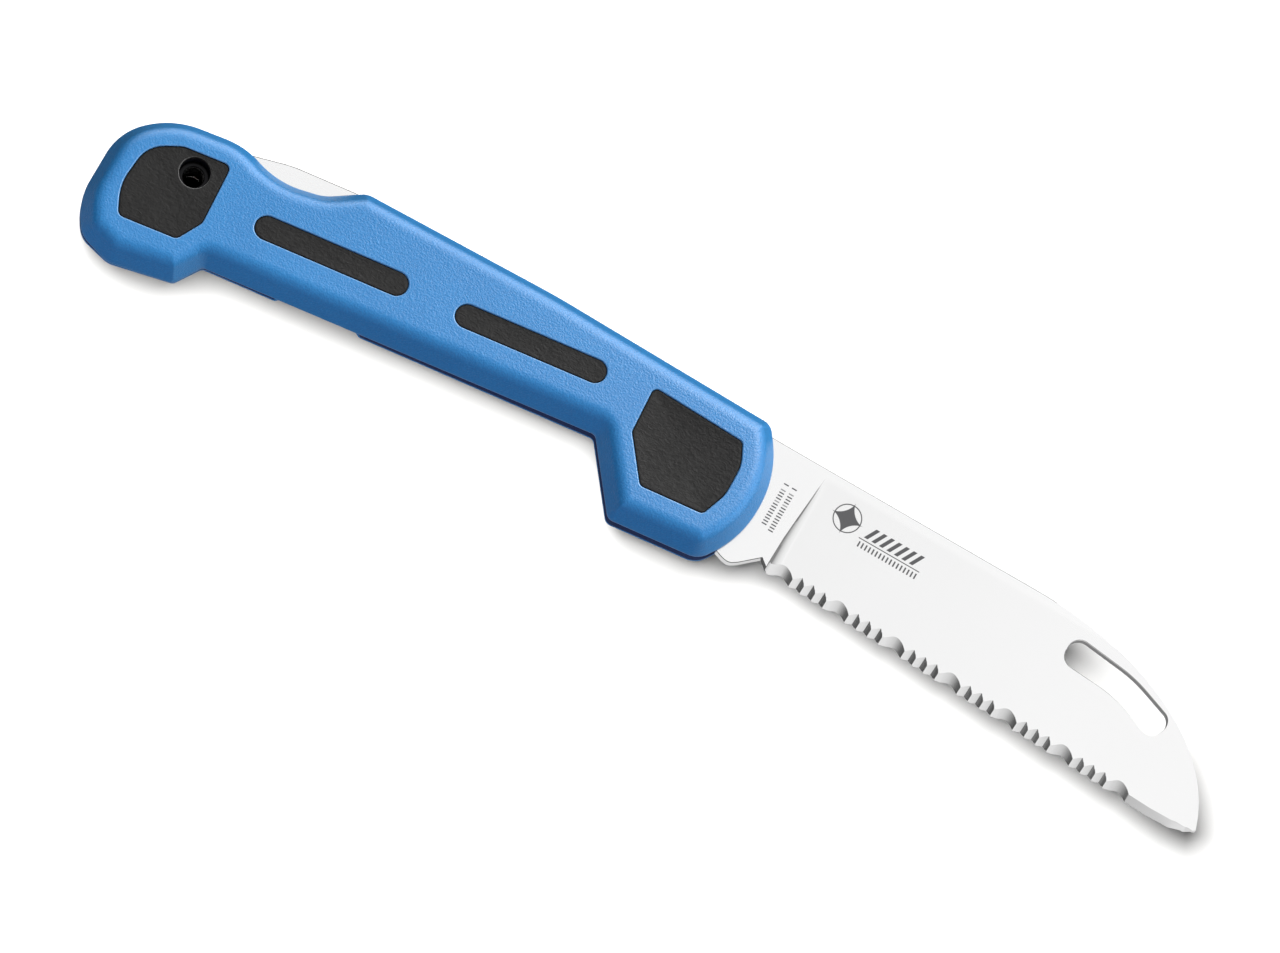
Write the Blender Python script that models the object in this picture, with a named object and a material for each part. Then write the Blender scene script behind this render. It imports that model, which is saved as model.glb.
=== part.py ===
"""Folding rigging knife: a one-hand lock-back with a moulded handle in two
shells, rubber inlays, and a serrated sheepsfoot blade, shown open.

World frame, metres: +X runs along the blade's spine towards the tip, +Y goes
towards the spine and the back of the handle, +Z is the thickness.  The knife
lies on its left side at Z = 0.  All dimensions below are in millimetres,
measured from the blade pivot (X, Y) and from the middle plane of the blade (Z).
"""
import math

import bmesh
import bpy
from mathutils import Matrix, Vector

for old in list(bpy.data.objects):
    bpy.data.objects.remove(old, do_unlink=True)

# ---------------------------------------------------------------- dimensions
MM = 0.001
PIVOT = (2.392, 3.272, 7.0)       # where the blade pivot stands in the world

HALF_HANDLE = 7.0                # middle plane to the outer face of a shell
HALF_GAP = 1.45                  # middle plane to the inner face of a shell
WALL_TOP = 2.0                   # a shell's side is upright up to here
WALL_LEAN = math.radians(68)     # then leans in at this angle to the face
SHELL_ROUND = 2.0                # and rolls over into the flat outer face
ROUND_STEPS = 4
INLAY_SINK = 0.25                # rubber sits this far below the blue face
INLAY_THICK = 1.3
INLAY_FIT = 0.08                 # clearance round an inlay in its pocket

BLADE_HALF = 1.25                # 2.5 mm blade stock
GRIND_TOP = 8.5                  # flat grind starts here, below the spine
GRIND_SLOPE = 0.0405             # half-thickness lost per millimetre
SPINE_Y = 9.85
EDGE_START = (19.0, -8.6)
EDGE_ANGLE = math.radians(-2.72)
SMALL_PITCH = 2.04               # small serrations
LARGE_PITCH = 4.05               # large scallops
CLOSING_ANGLE = 169.0            # travel of the blade, degrees

PIVOT_SHANK_R, PIVOT_HOLE_R = 2.0, 2.08
PIVOT_HEAD_R, PIVOT_HEAD_T = 3.4, 0.8
BAR_PIN = (-42.0, 8.0)           # axis of the lock bar
BAR_PIN_R, BAR_HOLE_R = 1.5, 1.58
BAR_HALF = 1.25
SPRING_PIN = (-51.5, 2.6)
SPRING_PIN_R = 1.0
LANYARD = (-87.0, -0.7)          # lanyard hole through the butt
LANYARD_R = 2.5
TUBE_OUT_R, TUBE_IN_R, TUBE_HALF = 2.42, 1.6, 3.5
WASHER_R, WASHER_T = 5.5, 0.4

# Corner points of each outline with the radius of each corner, anticlockwise.
HANDLE = [
    (8.4, 11.3, 2.4), (-30.0, 11.95, 120.0), (-62.8, 11.0, 3.0),
    (-68.3, 7.2, 8.0), (-75.5, 5.5, 14.0), (-82.7, 7.85, 13.0),
    (-93.9, 6.1, 14.0), (-100.45, 0.3, 9.5), (-100.45, -12.1, 11.0),
    (-97.4, -16.9, 4.0), (-91.9, -18.6, 4.0), (-81.5, -16.3, 1.0),
    (-78.8, -11.9, 1.0), (-14.1, -3.8, 1.2), (-6.0, -14.25, 1.5),
    (9.05, -12.6, 3.6), (13.15, -6.3, 17.0), (13.2, 4.7, 17.0),
]
# The left shell is drawn in a little along the belly towards the butt.
LEFT_BELLY = {9: (-97.4, -16.6, 4.0), 10: (-91.9, -18.0, 4.0),
              11: (-81.6, -15.6, 1.0), 12: (-78.9, -11.4, 1.0)}
FRONT_PAD = [
    (6.0, 5.65, 0.9), (-9.85, 6.15, 0.9), (-9.4, -1.6, 1.4),
    (-4.2, -8.3, 1.0), (6.2, -7.2, 1.0), (7.75, -2.8, 6.0), (7.65, 2.2, 6.0),
]
BUTT_PAD = [
    (-82.7, 3.0, 1.0), (-90.5, 1.9, 4.0), (-95.3, -0.8, 5.0),
    (-95.9, -8.0, 8.0), (-93.8, -12.45, 1.2), (-84.3, -11.1, 1.2),
    (-82.1, -7.0, 2.0),
]
FRONT_STRIPE = ((-40.0, 1.1), (-19.0, 3.7), 3.75)   # centre ends, width
REAR_STRIPE = ((-73.2, -2.6), (-51.9, 0.0), 3.8)
SLOT = [
    (64.7, 2.2, 2.0), (75.0, 1.5, 12.0), (82.7, -1.8, 1.9),
    (84.4, 2.55, 1.9), (76.0, 5.6, 12.0), (64.9, 6.9, 2.0),
]
LOCK_BAR = [
    (0.7, 10.75, 0.3), (-30.0, 11.2, 60.0), (-64.0, 10.45, 20.0),
    (-75.0, 9.1, 20.0), (-83.0, 6.8, 0.8), (-83.0, 4.6, 0.8),
    (-75.0, 5.9, 10.0), (-50.0, 5.7, 6.0), (-44.5, 5.0, 2.0),
    (-39.5, 5.0, 2.0), (-34.0, 5.9, 6.0), (-22.3, 6.3, 1.0),
    (-18.7, 8.4, 1.0), (-4.6, 8.4, 0.5), (-3.9, 6.85, 0.2),
    (0.7, 6.85, 0.2),
]
SPACER = [
    (-84.8, 6.2, 0.6), (-93.6, 5.0, 8.0), (-99.6, -0.3, 8.0),
    (-99.6, -11.6, 7.0), (-97.0, -15.9, 3.0), (-95.4, -16.3, 0.4),
    (-96.9, -7.0, 1.0), (-96.6, -4.2, 1.2), (-84.8, -3.3, 0.8),
]
SCOOP = ((-58.7, -19.6), 12.5)   # thumb scoop in the left shell


# ------------------------------------------------------------------- helpers
def lerp(a, b, t):
    return a + (b - a) * t


def rounded(corners, seg=4, inset=0.0, least=0.5):
    """A closed outline from corner points and radii, drawn in by inset.

    Each side moves in parallel to itself; a convex corner's radius shrinks by
    the inset and a hollow corner's grows by it.
    """
    n = len(corners)
    pts = []
    for i, (x, y, _r) in enumerate(corners):
        ax, ay, _ = corners[i - 1]
        bx, by, _ = corners[(i + 1) % n]
        u = Vector((x - ax, y - ay)).normalized()
        v = Vector((bx - x, by - y)).normalized()
        nu, nv = Vector((-u.y, u.x)), Vector((-v.y, v.x))
        m = (nu + nv) / (1.0 + nu.dot(nv))
        pts.append((Vector((x, y)) + m * inset, u.cross(v)))
    out = []
    for i, (p, turn) in enumerate(pts):
        r = corners[i][2]
        if inset:
            r = max(r - inset, min(r, least)) if turn > 0 else r + inset
        a, b = pts[i - 1][0], pts[(i + 1) % n][0]
        ua, ub = (a - p).normalized(), (b - p).normalized()
        half = math.acos(max(-1.0, min(1.0, ua.dot(ub)))) / 2
        mid = (ua + ub).normalized()
        c = p + mid * (r / math.sin(half))
        t0 = p + ua * (r / math.tan(half))
        t1 = p + ub * (r / math.tan(half))
        a0 = math.atan2(t0.y - c.y, t0.x - c.x)
        a1 = math.atan2(t1.y - c.y, t1.x - c.x)
        sweep = (a1 - a0 + math.pi) % (2 * math.pi) - math.pi
        for k in range(seg + 1):
            ang = a0 + sweep * k / seg
            out.append((c.x + r * math.cos(ang), c.y + r * math.sin(ang)))
    return out


def circle(cx, cy, r, n=24):
    return [(cx + r * math.cos(2 * math.pi * k / n),
             cy + r * math.sin(2 * math.pi * k / n)) for k in range(n)]


def stadium(ends, grow=0.0, n=8):
    (x0, y0), (x1, y1), width = ends
    r = width / 2 + grow
    a = math.atan2(y1 - y0, x1 - x0)
    pts = []
    for k in range(n + 1):
        t = a - math.pi / 2 + math.pi * k / n
        pts.append((x1 + r * math.cos(t), y1 + r * math.sin(t)))
    for k in range(n + 1):
        t = a + math.pi / 2 + math.pi * k / n
        pts.append((x0 + r * math.cos(t), y0 + r * math.sin(t)))
    return pts


def material(name, colour, rough, metal=0.0):
    mat = bpy.data.materials.new(name)
    mat.use_nodes = True
    shader = mat.node_tree.nodes["Principled BSDF"]
    shader.inputs["Base Color"].default_value = (*colour, 1.0)
    shader.inputs["Roughness"].default_value = rough
    shader.inputs["Metallic"].default_value = metal
    mat.diffuse_color = (*colour, 1.0)
    return mat


def make(name, bm, mat, origin=(0.0, 0.0, 0.0)):
    """Turns a bmesh in millimetres into an object whose origin is `origin`."""
    bmesh.ops.remove_doubles(bm, verts=bm.verts, dist=1e-5)
    bmesh.ops.recalc_face_normals(bm, faces=bm.faces)
    if bm.calc_volume(signed=True) < 0:
        bmesh.ops.reverse_faces(bm, faces=bm.faces)
    bmesh.ops.translate(bm, verts=bm.verts, vec=-Vector(origin))
    bmesh.ops.scale(bm, verts=bm.verts, vec=(MM, MM, MM))
    mesh = bpy.data.meshes.new(name)
    bm.to_mesh(mesh)
    bm.free()
    mesh.shade_smooth()
    mesh.set_sharp_from_angle(angle=math.radians(32))
    obj = bpy.data.objects.new(name, mesh)
    obj.location = [(o + p) * MM for o, p in zip(origin, PIVOT)]
    if mat:
        mesh.materials.append(mat)
    bpy.context.scene.collection.objects.link(obj)
    return obj


def stack(loops):
    """A closed body through rings of equal length, capped at both ends."""
    bm = bmesh.new()
    rings = [[bm.verts.new(p) for p in loop] for loop in loops]
    n = len(rings[0])
    for low, high in zip(rings, rings[1:]):
        for i in range(n):
            j = (i + 1) % n
            bm.faces.new((low[i], low[j], high[j], high[i]))
    bm.faces.new(list(reversed(rings[0])))
    bm.faces.new(rings[-1])
    return bm


def prism(outline, z0, z1):
    return stack([[(x, y, z) for x, y in outline] for z in (z0, z1)])


def turned(profile, cx, cy, n=24):
    """A ring or pin turned about a line parallel to Z: profile is (r, z)."""
    bm = bmesh.new()
    rings = []
    for r, z in profile:
        rings.append([bm.verts.new((cx + r * math.cos(2 * math.pi * k / n),
                                    cy + r * math.sin(2 * math.pi * k / n), z))
                      for k in range(n)])
    for low, high in zip(rings, rings[1:] + rings[:1]):
        for i in range(n):
            j = (i + 1) % n
            bm.faces.new((low[i], low[j], high[j], high[i]))
    return bm


def cut(obj, bm, name, origin=(0.0, 0.0, 0.0)):
    tool = make(name, bm, None, origin)
    tool.hide_render = True
    tool.display_type = 'WIRE'
    mod = obj.modifiers.new(name, 'BOOLEAN')
    mod.operation = 'DIFFERENCE'
    mod.solver = 'EXACT'
    mod.object = tool
    return tool


def flip(bm):
    """Mirrors a body across the middle plane."""
    bmesh.ops.transform(bm, matrix=Matrix.Scale(-1, 4, Vector((0, 0, 1))),
                        verts=bm.verts)
    bmesh.ops.reverse_faces(bm, faces=bm.faces)
    return bm


BLUE = material("blue_nylon", (0.072, 0.27, 0.68), 0.55)
RUBBER = material("black_rubber", (0.028, 0.028, 0.026), 0.8)
STEEL = material("satin_steel", (0.75, 0.76, 0.77), 0.28, 1.0)
SPRING_STEEL = material("spring_steel", (0.45, 0.46, 0.48), 0.35, 1.0)
BRONZE = material("bronze", (0.55, 0.36, 0.16), 0.4, 1.0)
DARK_TUBE = material("blackened_steel", (0.03, 0.03, 0.032), 0.35, 1.0)
NAVY = material("navy_nylon", (0.02, 0.05, 0.14), 0.6)


# -------------------------------------------------------------------- shells
def shell(name, corners, side):
    """A half of the handle: flat inner face, leaning side, rolled outer edge."""
    loops = [[(x, y, HALF_GAP) for x, y in rounded(corners)],
             [(x, y, WALL_TOP) for x, y in rounded(corners)]]
    arc_z = HALF_HANDLE - SHELL_ROUND
    lean_z = arc_z + SHELL_ROUND * math.cos(WALL_LEAN)
    lean = (lean_z - WALL_TOP) / math.tan(WALL_LEAN)
    flat = lean + SHELL_ROUND * math.sin(WALL_LEAN)
    for k in range(ROUND_STEPS + 1):
        a = WALL_LEAN * (1 - k / ROUND_STEPS)
        z = arc_z + SHELL_ROUND * math.cos(a)
        inset = flat - SHELL_ROUND * math.sin(a)
        loops.append([(x, y, z) for x, y in rounded(corners, inset=inset)])
    bm = stack(loops)
    obj = make(name, bm if side > 0 else flip(bm), BLUE)
    tag = "right" if side > 0 else "left"
    floor = HALF_HANDLE - INLAY_SINK - INLAY_THICK - 0.05

    def carve(what, bm):
        cut(obj, bm if side > 0 else flip(bm), f"cutter_{tag}_{what}")

    carve("front_pocket", prism(rounded(FRONT_PAD, inset=-INLAY_FIT), floor, 9))
    carve("butt_pocket", prism(rounded(BUTT_PAD, inset=-INLAY_FIT), floor, 9))
    carve("front_groove", prism(stadium(FRONT_STRIPE, INLAY_FIT), floor, 9))
    carve("rear_groove", prism(stadium(REAR_STRIPE, INLAY_FIT), floor, 9))
    # Rivet seat under the front pad, and the washer's seat inside.
    head = floor - PIVOT_HEAD_T - 0.08
    carve("pivot", stack([
        [(x, y, z) for x, y in circle(0, 0, r)] for r, z in (
            (WASHER_R + 0.15, 0.5), (WASHER_R + 0.15, 1.8), (PIVOT_HOLE_R, 1.8),
            (PIVOT_HOLE_R, head), (PIVOT_HEAD_R + 0.1, head),
            (PIVOT_HEAD_R + 0.1, floor + 0.4))]))
    carve("bar_pin", prism(circle(*BAR_PIN, BAR_HOLE_R, 16), 0.5, 4.75))
    carve("spring_pin", prism(circle(*SPRING_PIN, SPRING_PIN_R + 0.08, 12), 0.5, 3.4))
    carve("lanyard", prism(circle(*LANYARD, LANYARD_R), 0.5, 9))
    return obj


right_shell = shell("handle_shell_right", HANDLE, +1)
left_corners = [LEFT_BELLY.get(i, c) for i, c in enumerate(HANDLE)]
left_shell = shell("handle_shell_left", left_corners, -1)
(sx, sy), sr = SCOOP
cut(left_shell, stack([[(x, y, z) for x, y in circle(sx, sy, r, 48)]
                       for r, z in ((sr + 1.6, -9.0), (sr, -0.5))]),
    "cutter_thumb_scoop")


# -------------------------------------------------------------------- inlays
def inlay(name, outline, side, hole=False):
    top = HALF_HANDLE - INLAY_SINK
    bm = prism(outline, top - INLAY_THICK, top)
    obj = make(name, bm if side > 0 else flip(bm), RUBBER)
    if hole:
        bm = prism(circle(*LANYARD, LANYARD_R), top - INLAY_THICK - 2, top + 2)
        cut(obj, bm if side > 0 else flip(bm), "cutter_" + name)
    return obj


for tag, side in (("right", +1), ("left", -1)):
    inlay(f"front_pad_{tag}", rounded(FRONT_PAD), side)
    inlay(f"front_stripe_{tag}", stadium(FRONT_STRIPE), side)
    inlay(f"rear_stripe_{tag}", stadium(REAR_STRIPE), side)
    inlay(f"butt_pad_{tag}", rounded(BUTT_PAD), side, hole=True)


# --------------------------------------------------------------------- blade
def half_thickness(y):
    return BLADE_HALF - GRIND_SLOPE * max(0.0, GRIND_TOP - y)


def bezier(p0, p1, p2, p3, n):
    out = []
    for k in range(n + 1):
        t = k / n
        w = ((1 - t) ** 3, 3 * t * (1 - t) ** 2, 3 * t * t * (1 - t), t ** 3)
        out.append(tuple(sum(wi * p[j] for wi, p in zip(w, (p0, p1, p2, p3)))
                         for j in (0, 1)))
    return out


# One gullet from tooth to tooth: share of its pitch, height of the cutting
# edge, and height at which the ground facet meets the right-hand face.
SMALL = [(0.0, 0.0, 1.1), (0.3, 0.12, 1.65), (0.57, 0.34, 2.07)]
LARGE = [(0.0, 0.0, 1.05), (0.16, 0.12, 1.5), (0.30, 0.28, 2.0),
         (0.42, 0.52, 2.2), (0.54, 0.70, 2.2), (0.68, 0.66, 2.05),
         (0.82, 0.42, 1.75), (0.93, 0.18, 1.35)]


def serrated_edge():
    """Pairs (left-face edge point, right-face facet point) along the edge."""
    pitches = [LARGE_PITCH] + ([SMALL_PITCH] * 3 + [LARGE_PITCH]) * 6
    ex, ey = math.cos(EDGE_ANGLE), math.sin(EDGE_ANGLE)

    def at(u, v):
        return (EDGE_START[0] + u * ex - v * ey, EDGE_START[1] + u * ey + v * ex)

    pairs = [(at(-0.35, 0.0), at(-0.35, 1.05))]
    u = 0.0
    for pitch in pitches:
        for share, low, high in (LARGE if pitch == LARGE_PITCH else SMALL):
            pairs.append((at(u + share * pitch, low), at(u + share * pitch, high)))
        u += pitch
    pairs.append((at(u, 0.0), at(u, 1.15)))
    # Plain bevel from the last scallop to the tip.
    for low, high in (((87.7, -12.05), (87.9, -10.8)), ((91.6, -12.0), (91.7, -10.8)),
                      ((94.0, -11.5), (93.9, -10.65)), ((95.6, -10.4), (95.4, -10.1)),
                      ((97.0, -9.0), (96.8, -8.7))):
        pairs.append((low, high))
    return pairs


PAIRS = serrated_edge()
spine = bezier((57.7, SPINE_Y), (76.0, 9.3), (91.8, 2.3), (95.55, -10.0), 14)
blank = [EDGE_START, (22.5, -9.6), (84.0, -12.6), (88.0, -13.0), (92.3, -12.8),
         (95.0, -12.1), (95.9, -11.0)]
blank += list(reversed(spine))
blank += [(0.9, SPINE_Y)]
blank += [(6.5 * math.cos(math.radians(a)), 6.5 * math.sin(math.radians(a)))
          for a in range(82, 266, 8)]
blank += [(4.6, -7.4), (9.0, -9.3)]
blank += [(12.2, -10.4), (13.0, -10.55), (13.8, -10.35), (14.6, -9.8), (17.4, -7.3)]
blade = make("blade", prism(blank, -BLADE_HALF, BLADE_HALF), STEEL)

PLUNGE = [(19.7, 11.5), (19.6, 8.5), (19.4, 5.0), (19.05, 1.0), (18.75, -3.0),
          (18.65, -7.0), (18.65, -15.0)]


def grind_cutter():
    """Everything above the flat-ground face, with the curved plunge at its end."""
    low, high = [], []
    for x, y in PLUNGE:
        z = BLADE_HALF - GRIND_SLOPE * (GRIND_TOP - y)
        low.append((x, y, z))
        high.append((x - 1.8 * (3.0 - z), y, 3.0))
    for x, y in ((101.0, -15.0), (101.0, 11.5)):
        low.append((x, y, BLADE_HALF - GRIND_SLOPE * (GRIND_TOP - y)))
        high.append((x, y, 3.0))
    return stack([low, high])


cut(blade, grind_cutter(), "cutter_grind_right")
cut(blade, flip(grind_cutter()), "cutter_grind_left")


def edge_cutter():
    rings = []
    for low, high in PAIRS:
        e = Vector((*low, -half_thickness(low[1])))
        n = Vector((*high, half_thickness(high[1])))
        d = n - e
        a, b = n + d * 0.35, e - d * 0.35
        rings.append([a, b, Vector((e.x, e.y - 4.0, -2.5)),
                      Vector((e.x, e.y - 4.0, 2.8))])
    return stack(rings)


cut(blade, edge_cutter(), "cutter_edge")
cut(blade, prism(rounded(SLOT, 5), -3, 3), "cutter_slot")
cut(blade, prism(circle(0, 0, PIVOT_HOLE_R), -3, 3), "cutter_blade_pivot")

# ------------------------------------------------------- lock bar and spring
bar = make("lock_bar", prism(rounded(LOCK_BAR, 3), -BAR_HALF, BAR_HALF), STEEL,
           (*BAR_PIN, 0.0))
cut(bar, prism(circle(*BAR_PIN, BAR_HOLE_R, 20), -3, 3), "cutter_bar_pin",
    (*BAR_PIN, 0.0))


def leaf_spring():
    """A flat spring bowed over its pin, pressing up on the lock bar."""
    under = []
    for k in range(15):
        x = lerp(-41.0, -76.5, k / 14)
        # two parabolic arms that meet on top of the pin
        if x > SPRING_PIN[0]:
            s = (x - SPRING_PIN[0]) / (-41.0 - SPRING_PIN[0])
            y = lerp(3.7, 4.25, s * s)
        else:
            s = (x - SPRING_PIN[0]) / (-76.5 - SPRING_PIN[0])
            y = lerp(3.7, 4.95, s ** 1.7)
        under.append((x, y))
    over = [(x, y + 0.6) for x, y in reversed(under)]
    return prism(over + under, -1.1, 1.1)


make("lock_spring", leaf_spring(), SPRING_STEEL)

# ---------------------------------------------------------- pins and washers
head_z = HALF_HANDLE - INLAY_SINK - INLAY_THICK - 0.05 - 0.06
rivet = [(0, 0)]
bm = stack([[(x, y, z) for x, y in circle(0, 0, r)] for r, z in (
    (PIVOT_HEAD_R - 0.25, -head_z), (PIVOT_HEAD_R, -head_z + 0.25),
    (PIVOT_HEAD_R, -head_z + PIVOT_HEAD_T), (PIVOT_SHANK_R, -head_z + PIVOT_HEAD_T),
    (PIVOT_SHANK_R, head_z - PIVOT_HEAD_T), (PIVOT_HEAD_R, head_z - PIVOT_HEAD_T),
    (PIVOT_HEAD_R, head_z - 0.25), (PIVOT_HEAD_R - 0.25, head_z))])
make("blade_pivot_rivet", bm, STEEL)
make("lock_bar_pin", prism(circle(*BAR_PIN, BAR_PIN_R, 20), -4.65, 4.65), STEEL)
make("spring_pin", prism(circle(*SPRING_PIN, SPRING_PIN_R, 12), -3.3, 3.3), STEEL)
for tag, side in (("right", +1), ("left", -1)):
    low = BLADE_HALF + 0.08
    bm = turned([(PIVOT_HOLE_R + 0.02, low), (WASHER_R, low),
                 (WASHER_R, low + WASHER_T), (PIVOT_HOLE_R + 0.02, low + WASHER_T)],
                0, 0)
    make(f"pivot_washer_{tag}", bm if side > 0 else flip(bm), BRONZE)

# --------------------------------------------------------------------- butt
make("lanyard_tube", turned([(TUBE_IN_R, -TUBE_HALF), (TUBE_OUT_R, -TUBE_HALF),
                             (TUBE_OUT_R, TUBE_HALF), (TUBE_IN_R, TUBE_HALF)],
                            *LANYARD), DARK_TUBE)
spacer = make("butt_spacer", prism(rounded(SPACER), -HALF_GAP + 0.08, HALF_GAP - 0.08),
              NAVY)
cut(spacer, prism(circle(*LANYARD, LANYARD_R), -3, 3), "cutter_spacer")
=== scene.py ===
import math

import bmesh
import bpy
from mathutils import Matrix, Vector, noise


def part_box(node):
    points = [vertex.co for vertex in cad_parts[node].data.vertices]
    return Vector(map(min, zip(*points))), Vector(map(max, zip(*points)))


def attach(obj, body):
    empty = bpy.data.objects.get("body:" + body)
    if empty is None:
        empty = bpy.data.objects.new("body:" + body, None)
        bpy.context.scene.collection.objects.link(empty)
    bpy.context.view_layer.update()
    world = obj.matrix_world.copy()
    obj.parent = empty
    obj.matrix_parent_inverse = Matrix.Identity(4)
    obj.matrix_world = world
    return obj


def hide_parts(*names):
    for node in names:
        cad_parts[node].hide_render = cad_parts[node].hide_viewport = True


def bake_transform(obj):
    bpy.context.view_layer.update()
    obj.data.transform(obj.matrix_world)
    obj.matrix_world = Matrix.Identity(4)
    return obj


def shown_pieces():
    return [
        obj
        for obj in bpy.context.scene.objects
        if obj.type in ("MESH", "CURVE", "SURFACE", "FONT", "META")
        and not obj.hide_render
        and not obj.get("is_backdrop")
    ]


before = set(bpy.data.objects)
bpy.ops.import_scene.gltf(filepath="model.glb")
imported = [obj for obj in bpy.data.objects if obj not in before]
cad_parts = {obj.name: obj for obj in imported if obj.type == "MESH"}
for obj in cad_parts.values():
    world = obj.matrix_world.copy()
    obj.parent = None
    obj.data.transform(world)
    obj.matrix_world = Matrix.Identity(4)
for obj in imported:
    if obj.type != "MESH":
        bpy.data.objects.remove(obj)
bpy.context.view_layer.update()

# A folding rigging knife, shown open and lying on its left side.  Everything
# below is in millimetres from the blade pivot (X, Y) and from the middle plane
# of the blade (Z), as in the CAD, and turned into metres when a mesh is made.
MM = 0.001
rivet_low, rivet_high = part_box("blade_pivot_rivet")
shell_low, shell_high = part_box("handle_shell_right")
left_low, left_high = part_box("handle_shell_left")
PIVOT = ((rivet_low.x + rivet_high.x) / 2 / MM,
         (rivet_low.y + rivet_high.y) / 2 / MM,
         (left_low.z + shell_high.z) / 2 / MM)

HALF_HANDLE = 7.0
HALF_GAP = 1.45
WALL_TOP = 2.0
WALL_LEAN = math.radians(68)
SHOULDER = 2.8
INLAY_SINK = 0.25
INLAY_THICK = 1.3
INLAY_FIT = 0.05
BLADE_HALF = 1.25
GRIND_TOP = 8.5
GRIND_SLOPE = 0.0405
SPINE_Y = 9.85
EDGE_START = (19.0, -8.6)
EDGE_ANGLE = math.radians(-2.72)
SMALL_PITCH = 2.04
LARGE_PITCH = 4.05
PIVOT_HOLE_R = 2.08
BAR_PIN = (-42.0, 8.0)
SPRING_PIN = (-51.5, 2.6)
LANYARD = (-87.0, -0.7)
LANYARD_R = 2.5

HANDLE = [
    (8.4, 11.3, 2.4), (-30.0, 11.95, 120.0), (-62.8, 11.0, 3.0),
    (-68.3, 7.2, 8.0), (-75.5, 5.5, 14.0), (-82.7, 7.85, 13.0),
    (-93.9, 6.1, 14.0), (-100.45, 0.3, 9.5), (-100.45, -12.1, 11.0),
    (-97.4, -16.9, 4.0), (-91.9, -18.6, 4.0), (-81.5, -16.3, 1.0),
    (-78.8, -11.9, 1.0), (-14.1, -3.8, 1.2), (-6.0, -14.25, 1.5),
    (9.05, -12.6, 3.6), (13.15, -6.3, 17.0), (13.2, 4.7, 17.0),
]
LEFT_BELLY = {9: (-97.4, -16.6, 4.0), 10: (-91.9, -18.0, 4.0),
              11: (-81.6, -15.6, 1.0), 12: (-78.9, -11.4, 1.0)}
FRONT_PAD = [
    (6.0, 5.65, 0.9), (-9.85, 6.15, 0.9), (-9.4, -1.6, 1.4),
    (-4.2, -8.3, 1.0), (6.2, -7.2, 1.0), (7.75, -2.8, 6.0), (7.65, 2.2, 6.0),
]
BUTT_PAD = [
    (-82.7, 3.0, 1.0), (-90.5, 1.9, 4.0), (-95.3, -0.8, 5.0),
    (-95.9, -8.0, 8.0), (-93.8, -12.45, 1.2), (-84.3, -11.1, 1.2),
    (-82.1, -7.0, 2.0),
]
FRONT_STRIPE = ((-40.0, 1.1), (-19.0, 3.7), 3.75)
REAR_STRIPE = ((-73.2, -2.6), (-51.9, 0.0), 3.8)
SLOT = [
    (64.7, 2.2, 2.0), (75.0, 1.5, 20.0), (82.7, -1.8, 1.9),
    (84.4, 2.55, 1.9), (76.0, 5.6, 24.0), (64.9, 6.9, 2.0),
]
LOCK_BAR = [
    (0.7, 10.75, 0.3), (-30.0, 11.2, 60.0), (-64.0, 10.45, 20.0),
    (-75.0, 9.1, 20.0), (-83.0, 6.8, 0.8), (-83.0, 4.6, 0.8),
    (-75.0, 5.9, 10.0), (-50.0, 5.7, 6.0), (-44.5, 5.0, 2.0),
    (-39.5, 5.0, 2.0), (-34.0, 5.9, 6.0), (-22.3, 6.3, 1.0),
    (-18.7, 8.4, 1.0), (-4.6, 8.4, 0.5), (-3.9, 6.85, 0.2),
    (0.7, 6.85, 0.2),
]
SPACER = [
    (-84.8, 6.2, 0.6), (-93.6, 5.0, 8.0), (-99.6, -0.3, 8.0),
    (-99.6, -11.6, 7.0), (-97.0, -15.9, 3.0), (-95.4, -16.3, 0.4),
    (-96.9, -7.0, 1.0), (-96.6, -4.2, 1.2), (-84.8, -3.3, 0.8),
]
SCOOP = ((-58.7, -19.6), 12.5)


# ------------------------------------------------------------- outline tools
def lerp(a, b, t):
    return a + (b - a) * t


def rounded(corners, seg=10, inset=0.0, least=0.4):
    """A closed outline from corner points and radii, drawn in by inset."""
    n = len(corners)
    pts = []
    for i, (x, y, _r) in enumerate(corners):
        ax, ay, _ = corners[i - 1]
        bx, by, _ = corners[(i + 1) % n]
        u = Vector((x - ax, y - ay)).normalized()
        v = Vector((bx - x, by - y)).normalized()
        nu, nv = Vector((-u.y, u.x)), Vector((-v.y, v.x))
        m = (nu + nv) / (1.0 + nu.dot(nv))
        pts.append((Vector((x, y)) + m * inset, u.cross(v)))
    out = []
    for i, (p, turn) in enumerate(pts):
        r = corners[i][2]
        if inset:
            r = max(r - inset, min(r, least)) if turn > 0 else r + inset
        a, b = pts[i - 1][0], pts[(i + 1) % n][0]
        ua, ub = (a - p).normalized(), (b - p).normalized()
        half = math.acos(max(-1.0, min(1.0, ua.dot(ub)))) / 2
        mid = (ua + ub).normalized()
        c = p + mid * (r / math.sin(half))
        t0 = p + ua * (r / math.tan(half))
        t1 = p + ub * (r / math.tan(half))
        a0 = math.atan2(t0.y - c.y, t0.x - c.x)
        a1 = math.atan2(t1.y - c.y, t1.x - c.x)
        sweep = (a1 - a0 + math.pi) % (2 * math.pi) - math.pi
        for k in range(seg + 1):
            ang = a0 + sweep * k / seg
            out.append((c.x + r * math.cos(ang), c.y + r * math.sin(ang)))
    return out


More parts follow.
